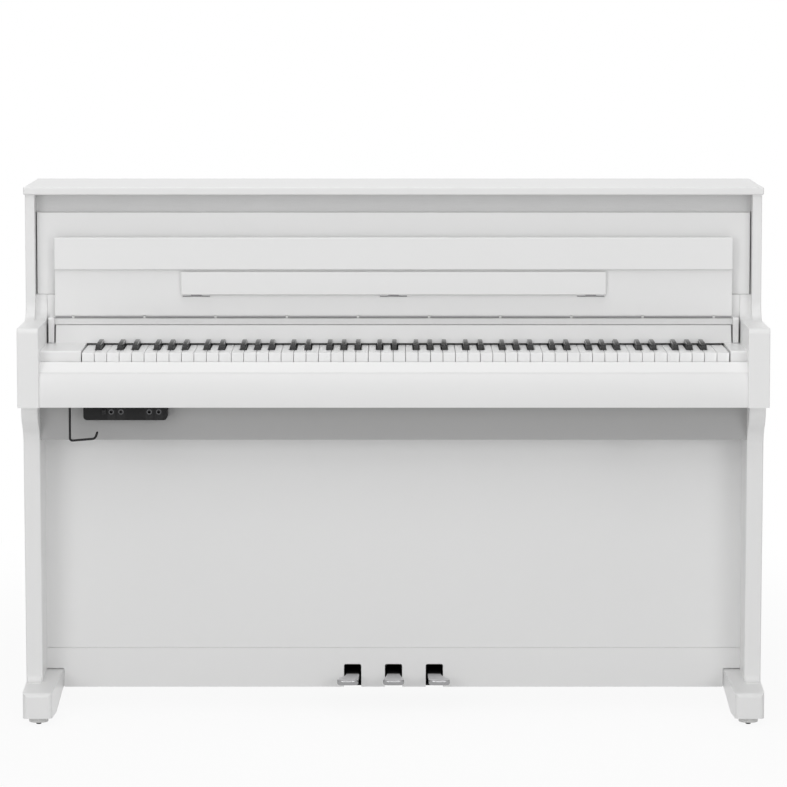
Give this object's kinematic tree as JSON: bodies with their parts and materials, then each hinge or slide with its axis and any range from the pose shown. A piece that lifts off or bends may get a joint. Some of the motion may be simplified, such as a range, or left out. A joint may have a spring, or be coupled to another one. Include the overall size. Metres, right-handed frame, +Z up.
{
  "type": "upright piano",
  "caption": "Upright-cabinet digital piano with a folding key cover, flap music rest, rocking keys, three pedals, jack box and headphone hook.",
  "frame": {"origin": "on the floor, under the middle of the piano's whole box", "axes": "+X along the keyboard towards the treble, +Y from the player to the back, +Z up"},
  "size_m": [1.425, 0.475, 1.027],
  "materials": {
    "white_lacquer": "polished white lacquer",
    "grey_paint": "satin grey paint",
    "raw_board": "painted board",
    "grille_cloth": "light grey speaker cloth",
    "white_key": "satin white",
    "black_key": "satin black",
    "felt": "black felt",
    "key_frame_plastic": "moulded grey",
    "hinge_steel": "bright steel",
    "pedal_chrome": "polished plating",
    "black_plastic": "moulded black",
    "black_wire": "black coated wire",
    "socket_metal": "dark nickel",
    "contact_rubber": "grey rubber",
    "board_green": "solder mask",
    "glide_plastic": "moulded white",
    "glide_rubber": "dark rubber"
  },
  "bodies": {
    "cabinet": {"side_panel_left": "white_lacquer", "side_panel_right": "white_lacquer", "arm_left": "white_lacquer", "arm_right": "white_lacquer", "top_lid": "white_lacquer", "upper_panel": "white_lacquer", "key_slip": "white_lacquer", "key_block_left": "white_lacquer", "key_block_right": "white_lacquer", "nameboard": "white_lacquer", "hinge_rail": "white_lacquer", "cover_brackets": "white_lacquer", "leg_left": "white_lacquer", "leg_right": "white_lacquer", "foot_left": "white_lacquer", "foot_right": "white_lacquer", "lower_panel": "white_lacquer", "pedal_rail": "white_lacquer", "speaker_box": "grey_paint", "back_panel": "raw_board", "key_bed": "raw_board", "speaker_grille": "grille_cloth", "felt_strips": "felt", "key_frame": "key_frame_plastic", "cover_hinge": "hinge_steel", "balance_rail": "hinge_steel", "pedal_rod": "hinge_steel", "pedal_springs": "hinge_steel", "assembly_screws": "hinge_steel", "jack_box": "black_plastic", "pedal_box": "black_plastic", "power_inlet": "black_plastic", "speakers": "black_plastic", "headphone_hook": "black_wire", "jack_sockets": "socket_metal", "rubber_contacts": "contact_rubber", "circuit_boards": "board_green", "glide_pads": "glide_plastic", "glide_tips": "glide_rubber"},
    "key_cover": {"key_cover": "white_lacquer", "leaf_hinge": "hinge_steel", "rest_hinges": "hinge_steel"},
    "front_leaf": {"cover_front_leaf": "white_lacquer"},
    "music_rest": {"music_rest": "white_lacquer"},
    "pedal_left": {"pedal_left": "pedal_chrome"},
    "pedal_middle": {"pedal_middle": "pedal_chrome"},
    "pedal_right": {"pedal_right": "pedal_chrome"},
    "power_button": {"power_button": "black_plastic"},
    "key_c4": {"key_c4": "white_key"},
    "key_c_sharp_4": {"key_c_sharp_4": "black_key"},
    "key_d4": {"key_d4": "white_key"},
    "key_d_sharp_4": {"key_d_sharp_4": "black_key"},
    "key_e4": {"key_e4": "white_key"},
    "key_f4": {"key_f4": "white_key"},
    "key_f_sharp_4": {"key_f_sharp_4": "black_key"},
    "key_g4": {"key_g4": "white_key"},
    "white_keys_bass": {"white_keys_bass": "white_key"},
    "black_keys_bass": {"black_keys_bass": "black_key"},
    "white_keys_treble": {"white_keys_treble": "white_key"},
    "black_keys_treble": {"black_keys_treble": "black_key"}
  },
  "joints": [
    {"name": "cover_hinge", "type": "hinge", "parent": "cabinet", "child": "key_cover", "pos_m": [0, -0.0405, 0.7749], "axis": [-1, 0, 0], "range_deg": [-104.2, 0]},
    {"name": "leaf_fold", "type": "hinge", "parent": "key_cover", "child": "front_leaf", "pos_m": [0, -0.03525, 0.926], "axis": [-1, 0, 0], "range_deg": [0, 133.3]},
    {"name": "rest_fold", "type": "hinge", "parent": "key_cover", "child": "music_rest", "pos_m": [0, -0.04474, 0.8161], "axis": [1, 0, 0], "range_deg": [0, 90]},
    {"name": "pedal_left_press", "type": "hinge", "parent": "cabinet", "child": "pedal_left", "pos_m": [-0.08, 0.1325, 0.065], "axis": [1, 0, 0], "range_deg": [0, 6.5], "stiffness_Nm_per_rad": 12, "springref_deg": -8.59},
    {"name": "pedal_middle_press", "type": "hinge", "parent": "cabinet", "child": "pedal_middle", "pos_m": [0, 0.1325, 0.065], "axis": [1, 0, 0], "range_deg": [0, 6.5], "stiffness_Nm_per_rad": 12, "springref_deg": -8.59},
    {"name": "pedal_right_press", "type": "hinge", "parent": "cabinet", "child": "pedal_right", "pos_m": [0.08, 0.1325, 0.065], "axis": [1, 0, 0], "range_deg": [0, 6.5], "stiffness_Nm_per_rad": 12, "springref_deg": -8.59},
    {"name": "key_c4_press", "type": "hinge", "parent": "cabinet", "child": "key_c4", "pos_m": [0.023, 0.0275, 0.7051], "axis": [1, 0, 0], "range_deg": [0, 2.5], "stiffness_Nm_per_rad": 2, "springref_deg": -6.88},
    {"name": "key_c_sharp_4_press", "type": "hinge", "parent": "cabinet", "child": "key_c_sharp_4", "pos_m": [0.023, 0.0275, 0.7051], "axis": [1, 0, 0], "range_deg": [0, 2.5], "stiffness_Nm_per_rad": 2, "springref_deg": -6.88},
    {"name": "key_d4_press", "type": "hinge", "parent": "cabinet", "child": "key_d4", "pos_m": [0.023, 0.0275, 0.7051], "axis": [1, 0, 0], "range_deg": [0, 2.5], "stiffness_Nm_per_rad": 2, "springref_deg": -6.88},
    {"name": "key_d_sharp_4_press", "type": "hinge", "parent": "cabinet", "child": "key_d_sharp_4", "pos_m": [0.023, 0.0275, 0.7051], "axis": [1, 0, 0], "range_deg": [0, 2.5], "stiffness_Nm_per_rad": 2, "springref_deg": -6.88},
    {"name": "key_e4_press", "type": "hinge", "parent": "cabinet", "child": "key_e4", "pos_m": [0.023, 0.0275, 0.7051], "axis": [1, 0, 0], "range_deg": [0, 2.5], "stiffness_Nm_per_rad": 2, "springref_deg": -6.88},
    {"name": "key_f4_press", "type": "hinge", "parent": "cabinet", "child": "key_f4", "pos_m": [0.023, 0.0275, 0.7051], "axis": [1, 0, 0], "range_deg": [0, 2.5], "stiffness_Nm_per_rad": 2, "springref_deg": -6.88},
    {"name": "key_f_sharp_4_press", "type": "hinge", "parent": "cabinet", "child": "key_f_sharp_4", "pos_m": [0.023, 0.0275, 0.7051], "axis": [1, 0, 0], "range_deg": [0, 2.5], "stiffness_Nm_per_rad": 2, "springref_deg": -6.88},
    {"name": "key_g4_press", "type": "hinge", "parent": "cabinet", "child": "key_g4", "pos_m": [0.023, 0.0275, 0.7051], "axis": [1, 0, 0], "range_deg": [0, 2.5], "stiffness_Nm_per_rad": 2, "springref_deg": -6.88},
    {"name": "white_keys_bass_press", "type": "hinge", "parent": "cabinet", "child": "white_keys_bass", "pos_m": [0.023, 0.0275, 0.7051], "axis": [1, 0, 0], "range_deg": [0, 2.5], "stiffness_Nm_per_rad": 46, "springref_deg": -6.88},
    {"name": "black_keys_bass_press", "type": "hinge", "parent": "cabinet", "child": "black_keys_bass", "pos_m": [0.023, 0.0275, 0.7051], "axis": [1, 0, 0], "range_deg": [0, 2.5], "stiffness_Nm_per_rad": 32, "springref_deg": -6.88},
    {"name": "white_keys_treble_press", "type": "hinge", "parent": "cabinet", "child": "white_keys_treble", "pos_m": [0.023, 0.0275, 0.7051], "axis": [1, 0, 0], "range_deg": [0, 2.5], "stiffness_Nm_per_rad": 48, "springref_deg": -6.88},
    {"name": "black_keys_treble_press", "type": "hinge", "parent": "cabinet", "child": "black_keys_treble", "pos_m": [0.023, 0.0275, 0.7051], "axis": [1, 0, 0], "range_deg": [0, 2.5], "stiffness_Nm_per_rad": 34, "springref_deg": -6.88},
    {"name": "power_button_press", "type": "slide", "parent": "cabinet", "child": "power_button", "axis": [0, 1, 0], "range_m": [0, 0.0025], "stiffness_N_per_m": 400, "springref_m": -0.002}
  ],
  "couplings": [
    {"joint": "leaf_fold", "follows": "cover_hinge", "ratio": -1.2783}
  ]
}
